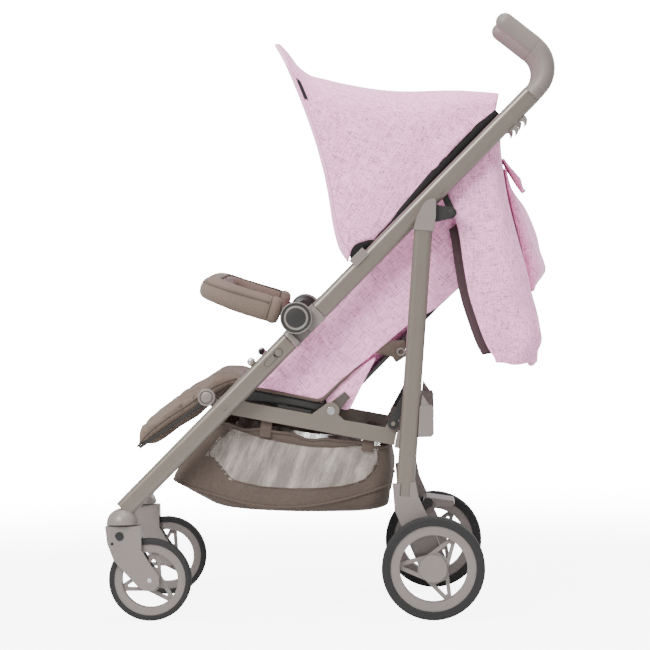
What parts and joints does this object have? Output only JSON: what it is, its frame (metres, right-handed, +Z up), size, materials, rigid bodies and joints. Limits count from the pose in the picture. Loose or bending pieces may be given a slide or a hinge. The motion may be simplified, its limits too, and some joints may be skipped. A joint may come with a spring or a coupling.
{
  "type": "baby stroller",
  "caption": "Folding baby stroller with oval-tube frame, two curved grips, sun canopy, reclining seat, bumper bar, leg rest, basket and swivel front casters.",
  "frame": {"origin": "centre of the footprint on the ground", "axes": "+Z up, the stroller faces -Y, X across the stroller; its left side is +X"},
  "size_m": [0.516, 0.8008, 1.053],
  "materials": {
    "alloy": "satin taupe paint on oval aluminium tube",
    "plastic": "mauve-grey moulded plastic, satin",
    "dark_plastic": "dark grey moulded plastic",
    "steel": "bright plated steel",
    "tyre": "dark grey foam tyre with a fine tread",
    "pink_fabric": "pale pink woven linen-look cloth",
    "taupe_fabric": "taupe-brown woven cloth"
  },
  "bodies": {
    "lower_frame": {"lower_tubes": "alloy", "lower_knuckles": "plastic", "frame_pins": "steel", "hub_caps": "plastic", "caster_sockets": "plastic", "front_cross_tube": "alloy", "legrest_brackets": "plastic", "side_snaps": "steel"},
    "upper_frame": {"upper_tubes": "alloy", "upper_knuckles": "plastic", "handle_grips": "plastic", "bag_hooks": "plastic", "canopy_clamps": "plastic", "leg_pins": "steel", "upper_cross_tube": "alloy", "rear_apron": "pink_fabric", "rear_pocket": "pink_fabric"},
    "canopy_hubs": {"canopy_hubs": "dark_plastic", "canopy_fabric": "pink_fabric"},
    "canopy_front": {"canopy_bow": "dark_plastic"},
    "rear_frame": {"rear_legs": "alloy", "leg_connectors": "plastic", "leg_hinges": "dark_plastic", "leg_housings": "plastic", "rear_axle": "steel", "brake_crossbar": "dark_plastic", "latch_housings": "plastic"},
    "brake_pedal": {"brake_pedal": "plastic"},
    "rear_wheel_left": {"rear_tyre_left": "tyre", "rear_rim_left": "plastic"},
    "rear_wheel_right": {"rear_tyre_right": "tyre", "rear_rim_right": "plastic"},
    "seat_frame": {"side_rails": "alloy", "rail_end_caps": "plastic", "seat_board": "dark_plastic", "seat_pad": "pink_fabric", "crotch_strap": "taupe_fabric", "basket": "taupe_fabric", "backrest_bolts": "steel"},
    "fold_latches": {"fold_latches": "dark_plastic"},
    "back_hinge": {"recline_brackets": "plastic"},
    "backrest": {"back_board": "dark_plastic", "back_pad": "pink_fabric", "side_wings": "pink_fabric", "shoulder_straps": "taupe_fabric"},
    "leg_rest": {"legrest_frame": "dark_plastic", "legrest_pad": "taupe_fabric"},
    "bumper_bar": {"bumper_core": "dark_plastic", "bumper_pad": "taupe_fabric"},
    "front_caster_left": {"fork_left": "plastic", "front_axle_left": "steel"},
    "front_wheel_left": {"front_tyre_left": "tyre", "front_rim_left": "plastic"},
    "caster_lock_left": {"caster_lock_left": "dark_plastic"},
    "front_caster_right": {"fork_right": "plastic", "front_axle_right": "steel"},
    "front_wheel_right": {"front_tyre_right": "tyre", "front_rim_right": "plastic"},
    "caster_lock_right": {"caster_lock_right": "dark_plastic"}
  },
  "joints": [
    {"name": "frame_fold", "type": "hinge", "parent": "lower_frame", "child": "upper_frame", "pos_m": [0, -0.0577, 0.5287], "axis": [1, 0, 0], "range_deg": [0, 170], "deforming": ["rear_apron", "rear_pocket", "seat_pad", "back_pad", "side_wings", "shoulder_straps", "crotch_strap", "basket", "legrest_pad", "bumper_pad"]},
    {"name": "leg_fold", "type": "hinge", "parent": "upper_frame", "child": "rear_frame", "pos_m": [0, 0.1984, 0.74532], "axis": [1, 0, 0], "range_deg": [-27.5, 0]},
    {"name": "seat_fold", "type": "hinge", "parent": "lower_frame", "child": "seat_frame", "pos_m": [0, -0.18704, 0.37355], "axis": [1, 0, 0], "range_deg": [0, 73.5]},
    {"name": "back_fold", "type": "hinge", "parent": "seat_frame", "child": "back_hinge", "pos_m": [0, -0.0016, 0.36215], "axis": [1, 0, 0], "range_deg": [0, 97.5]},
    {"name": "backrest_recline", "type": "hinge", "parent": "back_hinge", "child": "backrest", "pos_m": [0, -0.0016, 0.36215], "axis": [-1, 0, 0], "range_deg": [-28, 0]},
    {"name": "canopy_stow", "type": "hinge", "parent": "upper_frame", "child": "canopy_hubs", "pos_m": [0, 0.0498, 0.63616], "axis": [1, 0, 0], "range_deg": [-77, 0]},
    {"name": "canopy_fold", "type": "hinge", "parent": "canopy_hubs", "child": "canopy_front", "pos_m": [0, 0.0498, 0.63616], "axis": [1, 0, 0], "range_deg": [-50, 0], "deforming": ["canopy_fabric"]},
    {"name": "leg_rest_tilt", "type": "hinge", "parent": "lower_frame", "child": "leg_rest", "pos_m": [0, -0.2206, 0.39], "axis": [1, 0, 0], "range_deg": [-33, 25]},
    {"name": "bumper_fold", "type": "hinge", "parent": "lower_frame", "child": "bumper_bar", "pos_m": [0, -0.0577, 0.5287], "axis": [1, 0, 0], "range_deg": [0, 46.5]},
    {"name": "brake_pedal_press", "type": "hinge", "parent": "rear_frame", "child": "brake_pedal", "pos_m": [0, 0.166, 0.186], "axis": [1, 0, 0], "range_deg": [-20, 0]},
    {"name": "fold_latch", "type": "hinge", "parent": "seat_frame", "child": "fold_latches", "pos_m": [0, 0.1078, 0.33806], "axis": [1, 0, 0], "range_deg": [-20, 0], "stiffness_Nm_per_rad": 0.5},
    {"name": "rear_wheel_left_spin", "type": "hinge", "parent": "rear_frame", "child": "rear_wheel_left", "pos_m": [0.242, 0.174, 0.09], "axis": [1, 0, 0], "continuous": true},
    {"name": "caster_left_swivel", "type": "hinge", "parent": "lower_frame", "child": "front_caster_left", "pos_m": [0.195, -0.371, 0.17], "axis": [0, 0, 1], "continuous": true},
    {"name": "front_wheel_left_spin", "type": "hinge", "parent": "front_caster_left", "child": "front_wheel_left", "pos_m": [0.195, -0.324, 0.0725], "axis": [1, 0, 0], "continuous": true},
    {"name": "caster_lock_left_press", "type": "slide", "parent": "front_caster_left", "child": "caster_lock_left", "axis": [1, 0, 0], "range_m": [-0.003, 0], "stiffness_N_per_m": 400},
    {"name": "rear_wheel_right_spin", "type": "hinge", "parent": "rear_frame", "child": "rear_wheel_right", "pos_m": [-0.242, 0.174, 0.09], "axis": [1, 0, 0], "continuous": true},
    {"name": "caster_right_swivel", "type": "hinge", "parent": "lower_frame", "child": "front_caster_right", "pos_m": [-0.195, -0.371, 0.17], "axis": [0, 0, 1], "continuous": true},
    {"name": "front_wheel_right_spin", "type": "hinge", "parent": "front_caster_right", "child": "front_wheel_right", "pos_m": [-0.195, -0.324, 0.0725], "axis": [1, 0, 0], "continuous": true},
    {"name": "caster_lock_right_press", "type": "slide", "parent": "front_caster_right", "child": "caster_lock_right", "axis": [-1, 0, 0], "range_m": [-0.003, 0], "stiffness_N_per_m": 400}
  ],
  "couplings": [
    {"joint": "leg_fold", "follows": "frame_fold", "ratio": -0.1589},
    {"joint": "seat_fold", "follows": "frame_fold", "ratio": 0.4297},
    {"joint": "back_fold", "follows": "frame_fold", "ratio": 0.5703},
    {"joint": "canopy_stow", "follows": "frame_fold", "ratio": -0.45},
    {"joint": "bumper_fold", "follows": "frame_fold", "ratio": 0.27}
  ]
}
